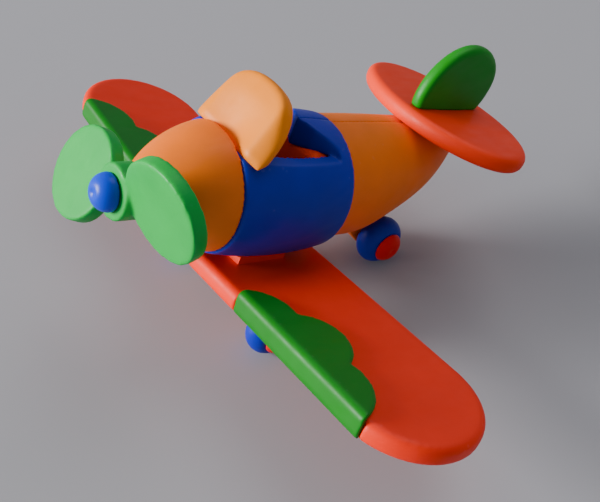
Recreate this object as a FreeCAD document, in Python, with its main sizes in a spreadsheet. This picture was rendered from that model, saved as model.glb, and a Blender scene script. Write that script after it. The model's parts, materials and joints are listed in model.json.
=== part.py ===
import FreeCAD, Part
import math
import os

# Snap-together toy airplane: fuselage shells, V wing, tail, propeller and three wheels on snap pins.
# Every piece is drawn level, in the fuselage frame: the propeller's axis is the Y axis, the nose
# points to -Y and +X is the left wing. The whole toy is then tipped nose up onto its three wheels,
# so that the ground is the plane Z = 0.

Vector = FreeCAD.Vector
Rotation = FreeCAD.Rotation
Placement = FreeCAD.Placement

doc = FreeCAD.newDocument("ToyAirplane")

# driving dimensions, millimetres and degrees
SIZES = {
    # stance
    "nose_up_angle": 17.2, "frame_shift": -40.94,
    # walls and fits
    "wall": 1.8, "pin_radius": 1.5, "running_clearance": 0.05, "side_gap": 0.3,
    # propeller and its pin
    "propeller_hub_radius": 4.7, "propeller_hub_length": 4.3, "blade_root_radius": 3.2,
    "blade_tip_radius": 21.1, "blade_width": 16.6, "blade_thickness": 2.7, "blade_pitch": 19.0,
    "blade_turn": 20.0, "blade_middle": 2.2, "nose_pin_head_radius": 3.2, "nose_pin_head_height": 3.2,
    # fuselage stations along Y, and radii there
    "nose_front": 4.9, "nose_rear": 17.7, "cockpit_rear": 41.5,
    "nose_front_radius": 4.7, "nose_middle_radius": 9.3, "nose_rear_radius": 11.4,
    "cockpit_front_radius": 11.7, "cockpit_middle_radius": 13.3, "cockpit_rear_radius": 12.8,
    "rim_height": 9.5, "hoop_front": 33.2, "hoop_sweep": 5.2, "hoop_underside": 8.0,
    # windshield
    "screen_half_width": 9.5, "screen_top": 20.7, "screen_thickness": 3.8, "screen_lean": 32.8,
    "screen_foot": 10.6,
    # wing
    "half_span": 58.0, "wing_leading": 19.8, "wing_trailing": 47.1, "wing_height": -16.1,
    "wing_thickness": 3.9, "wing_dihedral": 4.7, "wing_tip_length": 13.8, "cover_skin": 1.1,
    "wing_pin_offset": 4.4, "wing_pin_station": 28.6,
    # tail surfaces
    "stabilizer_half_span": 20.8, "stabilizer_half_chord": 13.0, "stabilizer_middle": 73.5,
    "stabilizer_base": 12.3, "stabilizer_thickness": 3.6, "fin_thickness": 3.0,
    # wheels and landing gear
    "wheel_radius": 5.3, "wheel_width": 5.6, "main_wheel_offset": 14.2, "main_wheel_station": 32.2,
    "main_wheel_height": -23.7, "tail_wheel_offset": 5.0, "tail_wheel_station": 64.9, "leg_width": 2.8,
    "foot_thickness": 1.8, "wheel_pin_head_radius": 3.4, "wheel_pin_head_height": 1.5,
}

sheet = doc.addObject("Spreadsheet::Sheet", "Sizes")
for row, (alias, value) in enumerate(SIZES.items(), start=1):
    sheet.set(f"A{row}", alias)
    sheet.set(f"B{row}", str(value))
    sheet.setAlias(f"B{row}", alias)
doc.recompute()


def size(alias):
    """A driving dimension, read back from the sheet."""
    return float(sheet.get(alias))


def resting_placement():
    """Tips the level airplane nose up and sets its main wheels down on the ground plane."""
    lean = Rotation(Vector(1, 0, 0), -size("nose_up_angle"))
    axle = lean.multVec(Vector(0, size("main_wheel_station"), size("main_wheel_height")))
    return Placement(Vector(0, size("frame_shift"), size("wheel_radius") - axle.z), lean)


def tail_axle_height():
    """Height of the tail wheel's axle at which all three wheels touch the ground together."""
    lean = math.tan(math.radians(size("nose_up_angle")))
    return size("main_wheel_height") + (size("tail_wheel_station") - size("main_wheel_station")) * lean


NODES = []


def finish(obj, label):
    """Names a sub-part, stands it in the resting pose and puts it on the list of nodes."""
    obj.Label = label
    obj.Placement = resting_placement().multiply(obj.Placement)
    NODES.append(obj)


# small builders
def bind(obj, **expressions):
    for prop, expression in expressions.items():
        obj.setExpression(prop, expression)


AXIS_TURN = {
    "X": Rotation(Vector(0, 1, 0), 90),
    "Y": Rotation(Vector(1, 0, 0), -90),
    "Z": Rotation(),
}


def cylinder(name, radius, length, base, axis="Z"):
    """A cylinder whose radius and length are expressions; base is the centre of its first face."""
    obj = doc.addObject("Part::Cylinder", name)
    bind(obj, Radius=radius, Height=length)
    obj.Placement = Placement(Vector(*base), AXIS_TURN[axis])
    return obj


def box(name, length, width, height, corner, turn=None):
    obj = doc.addObject("Part::Box", name)
    bind(obj, Length=length, Width=width, Height=height)
    obj.Placement = Placement(Vector(*corner), turn or Rotation())
    return obj


def cut(name, base, *tools):
    for number, tool in enumerate(tools, start=1):
        result = doc.addObject("Part::Cut", f"{name}_cut{number}")
        result.Base = base
        result.Tool = tool
        base = result
    return base


def fuse(name, *shapes):
    obj = doc.addObject("Part::MultiFuse", f"{name}_fuse")
    obj.Shapes = list(shapes)
    return obj


def common(name, base, tool):
    obj = doc.addObject("Part::Common", f"{name}_common")
    obj.Base = base
    obj.Tool = tool
    return obj


def origin_plane(body, role):
    return next(item for item in body.Origin.OriginFeatures if item.Role == role)


def new_sketch(body, name, role, offset=0.0):
    """A sketch on one of the body's origin planes, moved along the plane's normal by offset."""
    sketch = body.newObject("Sketcher::SketchObject", name)
    sketch.AttachmentSupport = [(origin_plane(body, role), "")]
    sketch.MapMode = "FlatFace"
    sketch.AttachmentOffset = Placement(Vector(0, 0, offset), Rotation())
    return sketch


def draw_smooth(sketch, points):
    """Draws one closed smooth curve through the points."""
    curve = Part.BSplineCurve()
    curve.interpolate([Vector(*point, 0) for point in points], PeriodicFlag=True)
    sketch.addGeometry(curve, False)


def draw(sketch, outline):
    """Draws a closed outline. Each entry is a point, or ("arc", middle, end) for an arc to end."""
    here = Vector(*outline[0], 0)
    first = here
    for entry in outline[1:] + [outline[0]]:
        if entry[0] == "arc":
            middle, end = Vector(*entry[1], 0), Vector(*entry[2], 0)
            circle = Part.Arc(here, middle, end)
            sketch.addGeometry(circle, False)
            here = end
        else:
            end = Vector(*entry, 0)
            if (end - here).Length > 1e-6:
                sketch.addGeometry(Part.LineSegment(here, end), False)
            here = end
    if (here - first).Length > 1e-6:
        sketch.addGeometry(Part.LineSegment(here, first), False)


def revolved(name, outline):
    """A body turned about the Y axis from an outline of (station, radius) points."""
    body = doc.addObject("PartDesign::Body", name)
    sketch = new_sketch(body, f"{name}_profile", "YZ_Plane")
    draw(sketch, outline)
    doc.recompute()
    feature = body.newObject("PartDesign::Revolution", f"{name}_turn")
    feature.Profile = sketch
    feature.ReferenceAxis = (sketch, ["H_Axis"])
    feature.Angle = 360
    return body


def extruded(name, role, outline, length, start=0.0, smooth=False):
    """A body padded by an expression of length from an outline on an origin plane."""
    body = doc.addObject("PartDesign::Body", name)
    sketch = new_sketch(body, f"{name}_outline", role, start)
    if smooth:
        draw_smooth(sketch, outline)
    else:
        draw(sketch, outline)
    doc.recompute()
    feature = body.newObject("PartDesign::Pad", f"{name}_pad")
    feature.Profile = sketch
    feature.setExpression("Length", length)
    return body


def round_edges(name, base, radius, chosen):
    """Rounds the edges of base for which chosen(edge) holds."""
    doc.recompute()
    edges = [(number, radius, radius)
             for number, edge in enumerate(base.Shape.Edges, start=1) if chosen(edge)]
    obj = doc.addObject("Part::Fillet", f"{name}_round")
    obj.Base = base
    obj.Edges = edges
    return obj


def snap_pin(name, head_radius, head_height, shank_length):
    """A pin along +Z: a domed head below Z = 0, a round shank, and a split barbed end."""
    neck = size("pin_radius")
    barb = neck + 0.45
    dome_side = (head_radius * 0.78, -head_height * 0.72)
    outline = [
        (0, -head_height), ("arc", dome_side, (head_radius, 0)), (neck, 0), (neck, shank_length),
        (barb, shank_length + 0.3), (neck * 0.7, shank_length + 2.4), (0, shank_length + 2.4),
    ]
    body = doc.addObject("PartDesign::Body", f"{name}_turned")
    sketch = new_sketch(body, f"{name}_profile", "XZ_Plane")
    draw(sketch, outline)
    doc.recompute()
    feature = body.newObject("PartDesign::Revolution", f"{name}_turn")
    feature.Profile = sketch
    feature.ReferenceAxis = (sketch, ["V_Axis"])
    feature.Angle = 360
    slot_width = 0.7
    slot = box(f"{name}_slot", f"{slot_width} mm", f"{3 * barb} mm", "5 mm",
               (-slot_width / 2, -1.5 * barb, shank_length - 1.6))
    return cut(name, body, slot)


def oval_plate(name, middle, half_length, half_width, base, thickness):
    """An elliptical plate lying on the plane Z = base; half_length along X has to be the longer one."""
    body = doc.addObject("PartDesign::Body", name)
    sketch = new_sketch(body, f"{name}_outline", "XY_Plane", base)
    end, side = middle + Vector(half_length, 0, 0), middle + Vector(0, half_width, 0)
    sketch.addGeometry(Part.Ellipse(end, side, middle), False)
    doc.recompute()
    feature = body.newObject("PartDesign::Pad", f"{name}_pad")
    feature.Profile = sketch
    feature.setExpression("Length", thickness)
    return body


doc.recompute()
bore = size("pin_radius") + size("running_clearance")
wall = size("wall")

# propeller and its pin
hub = cylinder("propeller_hub", "Sizes.propeller_hub_radius", "Sizes.propeller_hub_length", (0, 0, 0), "Y")
blade_root, tip = size("blade_root_radius"), size("blade_tip_radius")
blades = []
for number in range(2):
    blade = oval_plate(f"blade_{number}", Vector((blade_root + tip) / 2, 0, 0), (tip - blade_root) / 2,
                       size("blade_width") / 2, 0.0, "Sizes.blade_thickness")
    lift = Placement(Vector(0, 0, -size("blade_thickness") / 2), Rotation())
    pitch = Placement(Vector(), Rotation(Vector(1, 0, 0), 90 + size("blade_pitch")))
    turn = Placement(Vector(0, size("blade_middle"), 0),
                     Rotation(Vector(0, 1, 0), -size("blade_turn") + 180 * number))
    blade.Placement = turn.multiply(pitch).multiply(lift)
    blades.append(blade)
hub_bore = cylinder("propeller_bore", "Sizes.pin_radius + Sizes.running_clearance", "20 mm", (0, -5, 0), "Y")
propeller = cut("propeller", fuse("propeller", hub, *blades), hub_bore)
finish(propeller, "propeller")

nose_pin = snap_pin("nose_pin", size("nose_pin_head_radius"), size("nose_pin_head_height"), 7.5)
nose_pin.Placement = Placement(Vector(0, -0.15, 0), AXIS_TURN["Y"])
finish(nose_pin, "nose_pin")

# nose cone
front, rear = size("nose_front"), size("nose_rear")
nose_radii = [size("nose_front_radius"), size("nose_middle_radius"), size("nose_rear_radius")]
middle = 0.5 * (front + rear)
spigot_out, spigot_in = size("cockpit_front_radius") - wall - 0.05, size("cockpit_front_radius") - 2 * wall
nose_cone = revolved("nose_shell", [
    (front, bore), (front, nose_radii[0]), ("arc", (middle, nose_radii[1]), (rear, nose_radii[2])),
    (rear, spigot_out), (rear + 2.4, spigot_out), (rear + 2.4, spigot_in), (rear - 1.0, spigot_in),
    ("arc", (middle + 0.8, nose_radii[1] - wall), (front + 2.4, nose_radii[0] - 0.6)), (front + 2.4, bore),
])
finish(nose_cone, "nose_cone")

# cockpit, two halves
cockpit_rear = size("cockpit_rear")
cockpit_radii = [size("cockpit_front_radius"), size("cockpit_middle_radius"), size("cockpit_rear_radius")]
cockpit_middle = 29.0
shell_inner = cockpit_radii[2] - wall
cockpit_surface = [(rear, cockpit_radii[0]),
                   ("arc", (cockpit_middle, cockpit_radii[1]), (cockpit_rear, cockpit_radii[2]))]
cockpit_shell = revolved("cockpit_shell", [(rear, cockpit_radii[0] - wall)] + cockpit_surface + [
    (cockpit_rear, shell_inner),
    ("arc", (cockpit_middle, cockpit_radii[1] - wall), (rear, cockpit_radii[0] - wall)),
])
rim, hoop_front, hoop_sweep = size("rim_height"), size("hoop_front"), size("hoop_sweep")
underside = size("hoop_underside")


def swept_opening(name, bottom):
    """Room over the cockpit, ending behind in the hoop's front faces, which sweep back to both sides."""
    swept = [(3.5, hoop_front + 0.34 * hoop_sweep), (7.4, hoop_front + hoop_sweep),
             (13, hoop_front + hoop_sweep)]
    mirrored = [(-x, y) for x, y in swept]
    outline = [(-13, rear - 1), (13, rear - 1)] + swept[::-1] + [(0, hoop_front)] + mirrored
    return extruded(name, "XY_Plane", outline, f"{20 - bottom} mm", bottom)


def hoop_block(name):
    """The hoop before its outside is turned: a bar with a shallow arched underside."""
    bar = extruded(f"{name}_bar", "XZ_Plane", [
        (-12, underside + 1.3), (-5, underside + 1.0), (0, underside), (5, underside + 1.0),
        (12, underside + 1.3), (12, 16), (-12, 16),
    ], f"{cockpit_rear - hoop_front + 1} mm", -cockpit_rear)
    return cut(name, bar, swept_opening(f"{name}_room", underside - 1))


cockpit_solid = revolved("cockpit_solid", [(rear, 0)] + cockpit_surface + [(cockpit_rear, 0)])
cockpit_body = fuse("cockpit", cut("cockpit_rim", cockpit_shell, swept_opening("cockpit_opening", rim)),
                    common("hoop", hoop_block("hoop"), cockpit_solid))
pin_x, pin_y = size("wing_pin_offset"), size("wing_pin_station")
floor_holes = [cylinder(f"floor_hole_{number}", "Sizes.pin_radius + Sizes.running_clearance", "20 mm",
                        (x, pin_y, -25)) for number, x in enumerate((-pin_x, pin_x))]
cockpit_open = cut("cockpit", cockpit_body, *floor_holes)
doc.recompute()
for side, label in ((1, "cockpit_left"), (-1, "cockpit_right")):
    half_space = box(f"{label}_half", "30 mm", "120 mm", "60 mm", (0 if side > 0 else -30, -10, -30))
    finish(common(label, cockpit_open, half_space), label)

# tail, two halves
TAIL_TOP = 12.5
TAIL_RINGS = [(41.5, 12.5), (50.0, 11.8), (57.0, 10.7), (62.0, 9.6), (68.0, 7.9), (73.0, 5.7), (76.0, 3.9),
              (78.0, 2.0)]


def tail_loft(name, thinner):
    """A body lofted through circles whose tops stay level while the underside rises to the stern."""
    body = doc.addObject("PartDesign::Body", name)
    rings = []
    for number, (station, radius) in enumerate(TAIL_RINGS):
        if radius - thinner < 1.0:
            continue
        ring = new_sketch(body, f"{name}_ring{number}", "XZ_Plane", -station)
        centre = Vector(0, TAIL_TOP - radius, 0)
        ring.addGeometry(Part.Circle(centre, Vector(0, 0, 1), radius - thinner), False)
        rings.append(ring)
    doc.recompute()
    feature = body.newObject("PartDesign::AdditiveLoft", f"{name}_loft")
    feature.Profile = rings[0]
    feature.Sections = rings[1:]
    feature.Ruled = False
    return body


tail_outer = tail_loft("tail_outer", 0.0)
tail_inner = tail_loft("tail_inner", wall)
collar_ring = revolved("collar_ring", [
    (cockpit_rear - 2.4, shell_inner - 1.7), (cockpit_rear - 2.4, shell_inner - 0.1),
    (cockpit_rear + 1.5, shell_inner - 0.1), (cockpit_rear + 1.5, shell_inner - 1.7),
])
collar_relief = box("collar_relief", "26 mm", "3 mm", "10 mm", (-13, cockpit_rear - 3, underside - 0.1))
tail_collar = cut("tail_collar", collar_ring, collar_relief)
stabilizer_seat = box("stabilizer_seat", "40 mm", "32 mm", "10 mm", (-20, 60.2, size("stabilizer_base")))
fin_slot = box("fin_slot", "2 mm", "8.2 mm", "12 mm", (-1, 68.9, 9))
bracket_slot = box("bracket_slot", "2.6 mm", "6.2 mm", "10 mm", (-1.3, 56.9, -12))
tail_shell = cut("tail_shell", fuse("tail_shell", cut("tail", tail_outer, tail_inner), tail_collar),
                 stabilizer_seat, fin_slot, bracket_slot)
doc.recompute()
for side, label in ((1, "tail_left"), (-1, "tail_right")):
    half_space = box(f"{label}_half", "30 mm", "120 mm", "60 mm", (0 if side > 0 else -30, 0, -30))
    finish(common(label, tail_shell, half_space), label)

# windshield and seat
lean_angle = size("screen_lean")
slope = 1 / math.cos(math.radians(lean_angle))
screen_half = size("screen_half_width")
screen_top = size("screen_top") * slope - size("screen_thickness") * math.tan(math.radians(lean_angle))
right_side = [(screen_half * 0.9, screen_top - 16.5), (screen_half, screen_top - 9.2),
              (screen_half * 0.88, screen_top - 4.8), (screen_half * 0.62, screen_top - 1.5)]
screen_outline = ([(0, screen_top - 19.0)] + right_side + [(0, screen_top)]
                  + [(-x, y) for x, y in reversed(right_side)])
screen_blank = extruded("screen_blank", "XZ_Plane", screen_outline, "Sizes.screen_thickness", smooth=True)
screen_round = round_edges("screen", screen_blank, 1.1, lambda edge: edge.BoundBox.YLength < 1e-6)
screen_round.Placement = Placement(Vector(0, size("screen_foot") + size("screen_thickness") * slope, 0),
                                   Rotation(Vector(1, 0, 0), -lean_angle))
screen_keep = box("screen_keep", "40 mm", "40 mm", "40 mm", (-20, rear, rim))
screen_clear = cylinder("screen_clear", f"{spigot_out + 0.05} mm", "60 mm", (0, 0, 0), "Y")
finish(cut("windshield", common("windshield", screen_round, screen_keep), screen_clear), "windshield")

seat_profile = extruded("seat_profile", "YZ_Plane", [
    (24.5, -6.5), (24.5, -3.4), ("arc", (29.5, -4.4), (33.2, -3.0)), (34.0, 7.6),
    ("arc", (34.8, 9.0), (36.2, 9.3)), (38.6, 9.3), (38.6, -6.5),
], "16 mm", -8)
seat_room = cylinder("seat_room", f"{shell_inner - 0.3} mm", "60 mm", (0, 0, 0), "Y")
finish(cut("seat", common("seat", seat_profile, seat_room), hoop_block("seat_relief")), "seat")

# wing panels and their covers
span, thick = size("half_span"), size("wing_thickness")
leading, trailing = size("wing_leading"), size("wing_trailing")
tip_start = span - size("wing_tip_length")


def wing_blank(name):
    """A flat panel with straight edges and a half-elliptical tip, lying on the XY plane."""
    body = doc.addObject("PartDesign::Body", name)
    sketch = new_sketch(body, f"{name}_outline", "XY_Plane", -thick / 2)
    root = -1.0
    middle_line = 0.5 * (leading + trailing)
    tip_middle = Vector(tip_start, middle_line, 0)
    if size("wing_tip_length") > trailing - middle_line:
        tip_ellipse = Part.Ellipse(Vector(span, middle_line, 0), Vector(tip_start, trailing, 0), tip_middle)
    else:
        raise SystemExit("the wing tip has to be longer than half the chord")
    sketch.addGeometry(Part.LineSegment(Vector(tip_start, trailing, 0), Vector(root, trailing, 0)), False)
    sketch.addGeometry(Part.LineSegment(Vector(root, trailing, 0), Vector(root, leading, 0)), False)
    sketch.addGeometry(Part.LineSegment(Vector(root, leading, 0), Vector(tip_start, leading, 0)), False)
    sketch.addGeometry(Part.ArcOfEllipse(tip_ellipse, -math.pi / 2, math.pi / 2), False)
    doc.recompute()
    feature = body.newObject("PartDesign::Pad", f"{name}_pad")
    feature.Profile = sketch
    feature.setExpression("Length", "Sizes.wing_thickness")
    return body


def panel_pose(side):
    """The dihedral lift of the left panel (side +1) or the right one (side -1)."""
    rise = Rotation(Vector(0, 1, 0), -side * size("wing_dihedral"))
    return Placement(Vector(0, 0, size("wing_height")), rise)


def mirrored(name, source):
    obj = doc.addObject("Part::Mirroring", f"{name}_mirror")
    obj.Source = source
    obj.Normal = Vector(1, 0, 0)
    return obj


skin = size("cover_skin")
cover_root, cover_tip = 14.6, 47.6
panel_round = round_edges("panel", wing_blank("panel_blank"), thick * 0.36,
                          lambda edge: edge.BoundBox.ZLength < 1e-6 and edge.CenterOfMass.x > 0)
cover_seat = box("cover_seat", f"{cover_tip - cover_root} mm", f"{1 + skin} mm", "10 mm",
                 (cover_root, leading - 1, -5))
panel = cut("panel", panel_round, cover_seat)
cloud = [
    (cover_root, leading), (cover_root, leading + 1.6),
    ("arc", (18.6, leading + 6.0), (23.4, leading + 6.6)),
    ("arc", (30.4, leading + 11.2), (37.0, leading + 6.9)),
    ("arc", (44.4, leading + 5.6), (cover_tip, leading)),
]
cover_blank = extruded("cover_blank", "XY_Plane", cloud, f"{thick + skin} mm", -thick / 2)
cover_round = round_edges("cover", cover_blank, 1.3, lambda edge: edge.BoundBox.ZLength < 1e-6
                          and abs(edge.CenterOfMass.y - leading) < 1e-3)
cover = cut("cover", cover_round, panel)

for side, word in ((1, "left"), (-1, "right")):
    flat_panel = panel if side > 0 else mirrored("panel", panel)
    flat_cover = cover if side > 0 else mirrored("cover", cover)
    wing_turned = doc.addObject("Part::Compound", f"wing_{word}_lifted")
    wing_turned.Links = [flat_panel]
    wing_turned.Placement = panel_pose(side)
    half_space = box(f"wing_{word}_half", "80 mm", "120 mm", "60 mm", (0 if side > 0 else -80, 0, -40))
    pin_hole = cylinder(f"wing_{word}_hole", "Sizes.pin_radius + Sizes.running_clearance", "30 mm",
                        (side * pin_x, pin_y, -30))
    wing = cut(f"wing_{word}", common(f"wing_{word}", wing_turned, half_space), pin_hole)
    cover_turned = doc.addObject("Part::Compound", f"wing_cover_{word}_lifted")
    cover_turned.Links = [flat_cover]
    cover_turned.Placement = panel_pose(side)
    finish(wing, f"wing_{word}")
    finish(cover_turned, f"wing_cover_{word}")

# saddle between wing and fuselage
wing_under = size("wing_height") - thick / 2
saddle_block = box("saddle_block", "12.6 mm", "11 mm", "6 mm", (-6.3, pin_y - 2.8, wing_under + 2.4))
fuselage_room = cylinder("fuselage_room", "Sizes.cockpit_middle_radius + 0.2", "40 mm", (0, 10, 0), "Y")
saddle_holes = [cylinder(f"saddle_hole_{number}", "Sizes.pin_radius + Sizes.running_clearance", "30 mm",
                         (x, pin_y, -30)) for number, x in enumerate((-pin_x, pin_x))]
wings_in_place = [obj.Base for obj in NODES if obj.Label in ("wing_left", "wing_right")]
finish(cut("wing_saddle", saddle_block, fuselage_room, *wings_in_place, *saddle_holes), "wing_saddle")

# landing gear legs
axle_y, axle_z = size("main_wheel_station"), size("main_wheel_height")
wheel_x, wheel_width = size("main_wheel_offset"), size("wheel_width")
leg_width, eye, foot_under = size("leg_width"), 3.2, wing_under - size("foot_thickness")
leg_outer = wheel_x - wheel_width / 2 - size("side_gap")
for side, word in ((1, "left"), (-1, "right")):
    plate = extruded(f"leg_{word}_plate", "YZ_Plane", [
        (axle_y - 5.0, -15.0), (axle_y - eye, axle_z),
        ("arc", (axle_y, axle_z - eye), (axle_y + eye, axle_z)),
        (axle_y + 7.0, -15.0),
    ], "Sizes.leg_width", side * (leg_outer - leg_width / 2) - leg_width / 2)
    foot = box(f"leg_{word}_foot", f"{leg_outer - 0.6} mm", "14.6 mm", "4.6 mm",
               (0.6 if side > 0 else -leg_outer, axle_y - 7.6, foot_under))
    axle_hole = cylinder(f"leg_{word}_axle_hole", "Sizes.pin_radius + Sizes.running_clearance", "20 mm",
                         (side * 2 if side > 0 else -22, axle_y, axle_z), "X")
    pin_hole = cylinder(f"leg_{word}_pin_hole", "Sizes.pin_radius + Sizes.running_clearance", "30 mm",
                        (side * pin_x, pin_y, -30))
    wing_body = wings_in_place[0 if side > 0 else 1]
    finish(cut(f"gear_leg_{word}", fuse(f"leg_{word}", plate, foot), wing_body, axle_hole, pin_hole),
           f"gear_leg_{word}")

# wing pins, through leg, wing, saddle and shell
wing_pins = []
for number, x in enumerate((-pin_x, pin_x)):
    wing_pin = snap_pin(f"wing_pin_{number}", 2.6, 1.0, 10.4)
    wing_pin.Placement = Placement(Vector(x, pin_y, foot_under), Rotation())
    wing_pins.append(wing_pin)
pin_group = doc.addObject("Part::Compound", "wing_pins_group")
pin_group.Links = wing_pins
finish(pin_group, "wing_pins")


# wheels and their pins
def wheel_blank(name):
    """A soft-edged wheel on the X axis, with a shallow dish round the pin's head."""
    half_width, radius = wheel_width / 2, size("wheel_radius")
    flat = radius - 1.9
    body = doc.addObject("PartDesign::Body", name)
    sketch = new_sketch(body, f"{name}_profile", "XZ_Plane")
    draw(sketch, [
        (-half_width, bore), (-half_width, flat), ("arc", (0, radius), (half_width, flat)),
        (half_width, bore),
    ])
    doc.recompute()
    feature = body.newObject("PartDesign::Revolution", f"{name}_turn")
    feature.Profile = sketch
    feature.ReferenceAxis = (sketch, ["H_Axis"])
    feature.Angle = 360
    return body


def wheel_set(wheel_label, pin_label, axle, side, pin_reach):
    """One wheel and its pin; side is +1 where the pin's head faces +X."""
    wheel = wheel_blank(wheel_label + "_blank")
    wheel.Placement = Placement(axle, Rotation())
    finish(wheel, wheel_label)
    axle_pin = snap_pin(pin_label, size("wheel_pin_head_radius"), size("wheel_pin_head_height"), pin_reach)
    head = axle + Vector(side * (wheel_width / 2 + 0.15), 0, 0)
    axle_pin.Placement = Placement(head, Rotation(Vector(0, 1, 0), -side * 90))
    finish(axle_pin, pin_label)


main_reach = wheel_width + size("side_gap") + leg_width + 0.3
for side, word in ((1, "left"), (-1, "right")):
    wheel_set(f"wheel_{word}", f"wheel_pin_{word}", Vector(side * wheel_x, axle_y, axle_z), side, main_reach)

# tail wheel, its bracket and pin
tail_y, tail_z, tail_x = size("tail_wheel_station"), tail_axle_height(), size("tail_wheel_offset")
bracket_half = tail_x - wheel_width / 2 - size("side_gap")
bracket_plate = extruded("bracket_plate", "YZ_Plane", [
    (53.5, 0.0), (53.5, -9.0), (61.9, tail_z - 2.4), ("arc", (65.8, tail_z - 3.2), (68.2, tail_z + 0.6)),
    (67.0, 0.0),
], f"{2 * bracket_half} mm", -bracket_half)
bracket_hole = cylinder("bracket_hole", "Sizes.pin_radius + Sizes.running_clearance", "20 mm",
                        (-10, tail_y, tail_z), "X")
bracket_tongue = box("bracket_tongue", "2.4 mm", "6 mm", "8 mm", (-1.2, 57, -11))
tail_body = tail_loft("tail_room", 0.0)
bracket = fuse("bracket", cut("bracket", bracket_plate, tail_body, bracket_hole), bracket_tongue)
finish(bracket, "tail_wheel_bracket")
wheel_set("tail_wheel", "tail_wheel_pin", Vector(tail_x, tail_y, tail_z), 1,
          wheel_width + size("side_gap") + 2 * bracket_half + 0.3)

# stabilizer and fin
base, plate_thick = size("stabilizer_base"), size("stabilizer_thickness")
stabilizer_body = oval_plate("stabilizer_blank", Vector(0, size("stabilizer_middle"), 0),
                             size("stabilizer_half_span"), size("stabilizer_half_chord"), base,
                             "Sizes.stabilizer_thickness")
stabilizer_round = round_edges("stabilizer", stabilizer_body, plate_thick * 0.42,
                               lambda edge: edge.BoundBox.ZLength < 1e-6)
stabilizer_slot = box("stabilizer_slot", "2 mm", "8.2 mm", "12 mm", (-1, 68.9, 9))
finish(cut("stabilizer", stabilizer_round, stabilizer_slot), "stabilizer")

fin_base = base + plate_thick
leaf = [(62.9, fin_base), (62.7, 19.0), (64.6, 24.2), (69.0, 28.2), (74.6, 29.6), (80.0, 28.0), (83.4, 24.0),
        (83.6, 19.4), (82.2, fin_base)]
fin_body = doc.addObject("PartDesign::Body", "fin_blank")
fin_sketch = new_sketch(fin_body, "fin_outline", "YZ_Plane", -size("fin_thickness") / 2)
leaf_curve = Part.BSplineCurve()
leaf_curve.interpolate([Vector(*point, 0) for point in leaf])
fin_sketch.addGeometry(leaf_curve, False)
fin_sketch.addGeometry(Part.LineSegment(Vector(*leaf[-1], 0), Vector(*leaf[0], 0)), False)
doc.recompute()
fin_pad = fin_body.newObject("PartDesign::Pad", "fin_pad")
fin_pad.Profile = fin_sketch
fin_pad.setExpression("Length", "Sizes.fin_thickness")
fin_round = round_edges("fin", fin_body, size("fin_thickness") * 0.42,
                        lambda edge: edge.BoundBox.XLength < 1e-3 and edge.CenterOfMass.z > fin_base + 0.5)
fin_tongue = box("fin_tongue", "1.8 mm", "8 mm", "7 mm", (-0.9, 69, fin_base - 6))
finish(fuse("fin", fin_round, fin_tongue), "fin")

doc.recompute()
bad = [obj.Label for obj in doc.Objects if "Invalid" in obj.State or "Error" in obj.State]
if bad:
    raise SystemExit(f"objects failed: {bad}")
os.makedirs("parts", exist_ok=True)
for node in NODES:
    if node.Shape.isNull() or not node.Shape.isValid():
        raise SystemExit(f"{node.Label}: shape is null or not valid")
    node.Shape.exportStep(os.path.join("parts", f"{node.Label}.step"))
    shape = node.Shape
    print(f"{node.Label}: {len(shape.Solids)} solid(s), {shape.Volume:.0f} mm3, {shape.BoundBox}")
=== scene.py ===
import json
import math

import bpy
from mathutils import Matrix, Vector


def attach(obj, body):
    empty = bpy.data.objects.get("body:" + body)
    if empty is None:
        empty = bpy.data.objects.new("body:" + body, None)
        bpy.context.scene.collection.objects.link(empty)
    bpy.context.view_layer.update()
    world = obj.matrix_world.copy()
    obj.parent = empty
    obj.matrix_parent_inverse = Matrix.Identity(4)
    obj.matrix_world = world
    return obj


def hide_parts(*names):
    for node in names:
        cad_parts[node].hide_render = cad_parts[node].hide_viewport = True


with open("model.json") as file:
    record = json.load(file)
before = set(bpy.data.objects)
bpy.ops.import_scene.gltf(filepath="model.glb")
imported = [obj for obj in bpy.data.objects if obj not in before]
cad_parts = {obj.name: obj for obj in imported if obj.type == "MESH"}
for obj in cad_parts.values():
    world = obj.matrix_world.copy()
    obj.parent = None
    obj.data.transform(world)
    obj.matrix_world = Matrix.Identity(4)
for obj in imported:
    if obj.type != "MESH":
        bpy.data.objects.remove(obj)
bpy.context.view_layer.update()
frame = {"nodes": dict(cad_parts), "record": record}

record = frame["record"]
bodyOf = {node: body for body, nodes in record["behaviour"]["bodies"].items() for node in nodes}
mm = 0.001

# the toy leans back on its tail wheel; shapes below are described as if it flew level
stance = {"noseUp": 17.2, "back": -40.94 * mm, "lift": 37.462 * mm}
levelToResting = Matrix.Translation((0, stance["back"], stance["lift"])) @ Matrix.Rotation(
    -math.radians(stance["noseUp"]), 4, "X")
restingToLevel = levelToResting.inverted()

print("stage: model loaded")


# colours are given as a painter sees them on a screen and turned into the linear values a shader wants
def screenColor(red, green, blue):
    def linear(value):
        share = value / 255
        return share / 12.92 if share <= 0.04045 else ((share + 0.055) / 1.055) ** 2.4
    return (linear(red), linear(green), linear(blue), 1.0)


def shade(color, factor):
    return tuple(min(1.0, channel * factor) for channel in color[:3]) + (1.0,)


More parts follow.
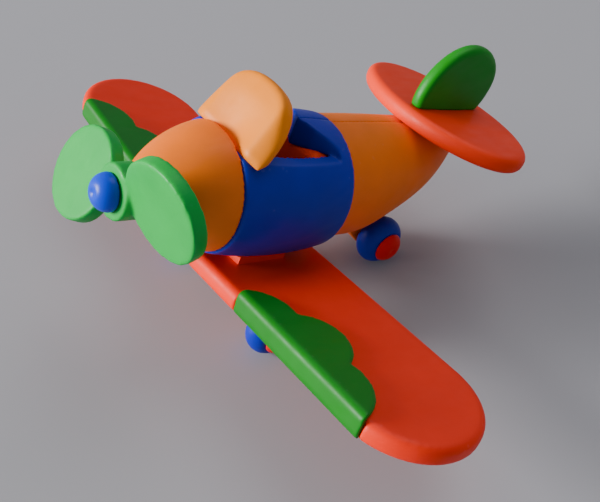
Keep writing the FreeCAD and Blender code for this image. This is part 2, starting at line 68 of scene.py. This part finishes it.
plasticFinishes = {
    "leafGreen": {"color": (0, 172, 64), "gloss": 0.46, "cloud": 0.08},
    "pinBlue": {"color": (0, 60, 215), "gloss": 0.38, "cloud": 0.08},
    "bodyAmber": {"color": (250, 118, 0), "gloss": 0.48, "cloud": 0.08},
    "screenAmber": {"color": (255, 140, 0), "gloss": 0.48, "cloud": 0.06},
    "cockpitBlue": {"color": (0, 34, 175), "gloss": 0.46, "cloud": 0.10},
    "seatOrange": {"color": (255, 66, 0), "gloss": 0.52, "cloud": 0.08},
    "wingOrange": {"color": (255, 44, 0), "gloss": 0.5, "cloud": 0.07},
    "coverGreen": {"color": (0, 118, 14), "gloss": 0.46, "cloud": 0.10},
    "wheelBlue": {"color": (0, 36, 175), "gloss": 0.46, "cloud": 0.10},
    "pinRed": {"color": (235, 6, 0), "gloss": 0.4, "cloud": 0.08},
    "tailOrange": {"color": (255, 56, 4), "gloss": 0.5, "cloud": 0.07},
    "finGreen": {"color": (0, 140, 14), "gloss": 0.46, "cloud": 0.10},
}


plasticTexture = {   # scales are per metre, depths in metres
    "cloudScale": 110, "cloudDetail": 3, "cloudRange": (0.32, 0.68), "brightShare": 0.5,
    "wearRange": (0.57, 0.70), "wearMost": 0.3, "wornShare": 0.14, "wornTone": 0.6,
    "streakScale": 420, "streakDetail": 4, "streakStretch": (1, 0.35, 1), "streakRange": (0.3, 0.7),
    "glossDrop": 0.06, "glossRise": 0.10,
    "grainScale": 3400, "grainDetail": 2, "grainStrength": 0.16, "grainDepth": 0.00006,
    "swellScale": 160, "swellDetail": 1, "swellStrength": 0.10, "swellDepth": 0.0006,
    "refraction": 1.49, "specular": 0.28,
}


# satin moulded plastic: slow cloudiness, fine mould grain, faint flow lines, paler worn edges
def makePlastic(name, color, gloss, cloud):
    material = bpy.data.materials.new(name)
    material.use_nodes = True
    nodes, links = material.node_tree.nodes, material.node_tree.links
    shader = nodes["Principled BSDF"]
    base = screenColor(*color)
    look = plasticTexture
    place = nodes.new("ShaderNodeTexCoord")

    def speckle(scale, detail, stretch=None):
        texture = nodes.new("ShaderNodeTexNoise")
        texture.inputs["Scale"].default_value = scale
        texture.inputs["Detail"].default_value = detail
        if stretch is None:
            links.new(place.outputs["Object"], texture.inputs["Vector"])
        else:
            mapping = nodes.new("ShaderNodeMapping")
            mapping.inputs["Scale"].default_value = stretch
            links.new(place.outputs["Object"], mapping.inputs["Vector"])
            links.new(mapping.outputs["Vector"], texture.inputs["Vector"])
        return texture.outputs["Fac"]

    def ramp(source, low, high, lowColor, highColor):
        colors = nodes.new("ShaderNodeValToRGB")
        colors.color_ramp.elements[0].position = low
        colors.color_ramp.elements[1].position = high
        colors.color_ramp.elements[0].color = lowColor
        colors.color_ramp.elements[1].color = highColor
        links.new(source, colors.inputs["Fac"])
        return colors.outputs["Color"]

    clouds = speckle(look["cloudScale"], look["cloudDetail"])
    dark, bright = shade(base, 1 - cloud), shade(base, 1 + look["brightShare"] * cloud)
    body = ramp(clouds, *look["cloudRange"], dark, bright)
    edges = nodes.new("ShaderNodeNewGeometry")
    most = look["wearMost"]
    wear = ramp(edges.outputs["Pointiness"], *look["wearRange"], (0, 0, 0, 1), (most, most, most, 1))
    blend = nodes.new("ShaderNodeMix")
    blend.data_type = "RGBA"
    share = look["wornShare"]
    worn = tuple((1 - share) * channel + share * look["wornTone"] for channel in base[:3])
    blend.inputs["B"].default_value = worn + (1,)
    links.new(wear, blend.inputs["Factor"])
    links.new(body, blend.inputs["A"])
    links.new(blend.outputs["Result"], shader.inputs["Base Color"])

    rough = nodes.new("ShaderNodeMapRange")
    rough.inputs["From Min"].default_value = look["streakRange"][0]
    rough.inputs["From Max"].default_value = look["streakRange"][1]
    rough.inputs["To Min"].default_value = gloss - look["glossDrop"]
    rough.inputs["To Max"].default_value = gloss + look["glossRise"]
    streaks = speckle(look["streakScale"], look["streakDetail"], look["streakStretch"])
    links.new(streaks, rough.inputs["Value"])
    links.new(rough.outputs["Result"], shader.inputs["Roughness"])

    grain = nodes.new("ShaderNodeBump")
    grain.inputs["Strength"].default_value = look["grainStrength"]
    grain.inputs["Distance"].default_value = look["grainDepth"]
    links.new(speckle(look["grainScale"], look["grainDetail"]), grain.inputs["Height"])
    swell = nodes.new("ShaderNodeBump")
    swell.inputs["Strength"].default_value = look["swellStrength"]
    swell.inputs["Distance"].default_value = look["swellDepth"]
    links.new(speckle(look["swellScale"], look["swellDetail"]), swell.inputs["Height"])
    links.new(grain.outputs["Normal"], swell.inputs["Normal"])
    links.new(swell.outputs["Normal"], shader.inputs["Normal"])
    shader.inputs["IOR"].default_value = look["refraction"]
    shader.inputs["Specular IOR Level"].default_value = look["specular"]
    return material


finishes = {name: makePlastic(name, **look) for name, look in plasticFinishes.items()}
finishOf = {
    "propeller": "leafGreen", "nose_pin": "pinBlue", "nose_cone": "bodyAmber", "windshield": "screenAmber",
    "cockpit_left": "cockpitBlue", "cockpit_right": "cockpitBlue", "tail_left": "bodyAmber",
    "tail_right": "bodyAmber", "seat": "seatOrange", "wing_left": "wingOrange", "wing_right": "wingOrange",
    "wing_saddle": "wingOrange", "wing_cover_left": "coverGreen", "wing_cover_right": "coverGreen",
    "gear_leg_left": "bodyAmber", "gear_leg_right": "bodyAmber", "wing_pins": "pinRed",
    "wheel_left": "wheelBlue", "wheel_right": "wheelBlue", "wheel_pin_left": "pinRed",
    "wheel_pin_right": "pinRed", "tail_wheel": "wheelBlue", "tail_wheel_pin": "pinRed",
    "tail_wheel_bracket": "bodyAmber", "stabilizer": "tailOrange", "fin": "finGreen",
}
for node, finish in finishOf.items():
    piece = frame["nodes"][node]
    piece.data.materials.clear()
    piece.data.materials.append(finishes[finish])

print("stage: plastics on every moulding")


# a moulding keeps the part's form but gets the soft, slightly sunk edges of injected plastic
def bakeModifiers(piece):
    graph = bpy.context.evaluated_depsgraph_get()
    shaped = bpy.data.meshes.new_from_object(piece.evaluated_get(graph))
    piece.modifiers.clear()
    piece.data = shaped


def smoothPiece(piece, rounds):
    soft = piece.modifiers.new("soft", "SMOOTH")
    soft.factor = 0.5
    soft.iterations = rounds
    bakeModifiers(piece)


def mould(node, grain, rounds, shaper=None, extraRounds=6):
    source = frame["nodes"][node]
    piece = bpy.data.objects.new(node + "_moulded", source.data.copy())
    bpy.context.scene.collection.objects.link(piece)
    cast = piece.modifiers.new("cast", "REMESH")
    cast.mode = "VOXEL"
    cast.voxel_size = grain * mm
    cast.use_smooth_shade = True
    bakeModifiers(piece)
    smoothPiece(piece, rounds)
    if shaper:
        for vertex in piece.data.vertices:
            level = restingToLevel @ vertex.co / mm
            vertex.co = levelToResting @ (shaper(level) * mm)
        smoothPiece(piece, extraRounds)
    piece.data.polygons.foreach_set("use_smooth", [True] * len(piece.data.polygons))
    piece.data.materials.clear()
    piece.data.materials.append(finishes[finishOf[node]])
    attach(piece, bodyOf[node])
    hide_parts(node)
    return piece


def ease(low, high, value):
    share = min(1.0, max(0.0, (value - low) / (high - low)))
    return share * share * (3 - 2 * share)


# windshield: hollowed saddle above the nose, bevelled flanks
windshieldForm = {"lean": 0.644, "foot": 10.6, "thickness": 3.8, "hollow": 1.4, "hollowWidth": 6.0,
                  "flank": 1.5, "flankStart": 6.2, "flankReach": 3.4, "hollowTop": (11, 18)}


def shapeWindshield(point):
    form = windshieldForm
    slant = math.sqrt(1 + form["lean"] ** 2)
    # depth is 0 on the front face and the thickness at the back
    depth = (point.y - form["foot"] - form["lean"] * point.z) / slant
    frontShare = 1 - ease(0, form["thickness"], depth)
    fade = 1 - ease(*form["hollowTop"], point.z)
    hollow = form["hollow"] * math.exp(-(point.x / form["hollowWidth"]) ** 2) * fade
    start = form["flankStart"]
    flank = form["flank"] * ease(start, start + form["flankReach"], abs(point.x))
    push = (hollow + flank) * frontShare
    return point + Vector((0, push / slant, -push * form["lean"] / slant))


# nose pin: shallow gate mark sunk in the tip of the dome
nosePinForm = {"markRadius": 0.8, "markDepth": 0.45, "domeStart": -1}


def shapeNosePin(point):
    around = math.hypot(point.x, point.z)
    if point.y > nosePinForm["domeStart"]:
        return point
    sink = nosePinForm["markDepth"] * math.exp(-(around / nosePinForm["markRadius"]) ** 2)
    return point + Vector((0, sink, 0))


mouldPlans = {   # node: voxel in millimetres, rounds of softening
    "nose_cone": (0.3, 7), "tail_left": (0.3, 7), "tail_right": (0.3, 7),
    "cockpit_left": (0.28, 12), "cockpit_right": (0.28, 12), "seat": (0.3, 8),
    "wing_left": (0.32, 9), "wing_right": (0.32, 9),
    "wing_cover_left": (0.22, 16), "wing_cover_right": (0.22, 16),
    "stabilizer": (0.28, 12), "fin": (0.25, 12), "propeller": (0.25, 24),
    "gear_leg_left": (0.25, 7), "gear_leg_right": (0.25, 7), "tail_wheel_bracket": (0.22, 8),
    "wheel_left": (0.22, 8), "wheel_right": (0.22, 8), "tail_wheel": (0.22, 8),
    "wheel_pin_left": (0.2, 6), "wheel_pin_right": (0.2, 6), "tail_wheel_pin": (0.2, 6),
}
for node, (grain, rounds) in mouldPlans.items():
    mould(node, grain, rounds)
mould("windshield", 0.28, 18, shapeWindshield, 10)
mould("nose_pin", 0.2, 6, shapeNosePin, 2)

print("stage: mouldings softened")

# ground, light and camera
studio = {
    "groundColor": (166, 165, 170), "groundSize": 8.0, "groundDrop": 0.0001, "groundRoughness": 0.9,
    "skyColor": (0.90, 0.93, 1.0), "skyStrength": 0.30,
    "keyPlace": (-0.95, -1.90, 0.60), "keySize": 1.0, "keyPower": 105.0,
    "topPlace": (-0.2, 0.6, 1.1), "topSize": 0.9, "topPower": 4.0,
    "cameraPlace": (0.0903, -0.0797, 0.1181), "heading": 0.850, "downward": 0.752, "tilt": 0.143,
    "lens": 47.47, "sensor": 36, "nearest": 0.001, "lampAim": (0, 0, 0.02),
}


def makeGround():
    bpy.ops.mesh.primitive_plane_add(size=studio["groundSize"], location=(0, 0, -studio["groundDrop"]))
    ground = bpy.context.object
    ground.name = "ground"
    material = bpy.data.materials.new("paleGround")
    material.use_nodes = True
    shader = material.node_tree.nodes["Principled BSDF"]
    shader.inputs["Base Color"].default_value = screenColor(*studio["groundColor"])
    shader.inputs["Roughness"].default_value = studio["groundRoughness"]
    ground.data.materials.append(material)


def makeLamp(name, place, size, power):
    lamp = bpy.data.lights.new(name, "AREA")
    lamp.shape = "DISK"
    lamp.size = size
    lamp.energy = power
    holder = bpy.data.objects.new(name, lamp)
    bpy.context.scene.collection.objects.link(holder)
    holder.location = place
    aim = Vector(studio["lampAim"]) - Vector(place)
    holder.rotation_euler = aim.to_track_quat("-Z", "Y").to_euler()


def makeSky():
    world = bpy.data.worlds.new("sky")
    world.use_nodes = True
    glow = world.node_tree.nodes["Background"]
    glow.inputs["Color"].default_value = (*studio["skyColor"], 1)
    glow.inputs["Strength"].default_value = studio["skyStrength"]
    bpy.context.scene.world = world


def makeCamera():
    heading, downward, tilt = studio["heading"], studio["downward"], studio["tilt"]
    back = Vector((math.sin(heading) * math.cos(downward), -math.cos(heading) * math.cos(downward),
                   math.sin(downward)))
    right = Vector((math.cos(heading), math.sin(heading), 0))
    up = back.cross(right)
    tiltedRight = math.cos(tilt) * right + math.sin(tilt) * up
    tiltedUp = -math.sin(tilt) * right + math.cos(tilt) * up
    lens = bpy.data.cameras.new("camera")
    lens.lens = studio["lens"]
    lens.sensor_width = studio["sensor"]
    lens.clip_start = studio["nearest"]
    camera = bpy.data.objects.new("camera", lens)
    bpy.context.scene.collection.objects.link(camera)
    turned = Matrix((tiltedRight, tiltedUp, back)).transposed().to_4x4()
    turned.translation = Vector(studio["cameraPlace"])
    camera.matrix_world = turned
    bpy.context.scene.camera = camera


makeGround()
makeLamp("key", studio["keyPlace"], studio["keySize"], studio["keyPower"])
makeLamp("top", studio["topPlace"], studio["topSize"], studio["topPower"])
makeSky()
makeCamera()

print("stage: studio ready")
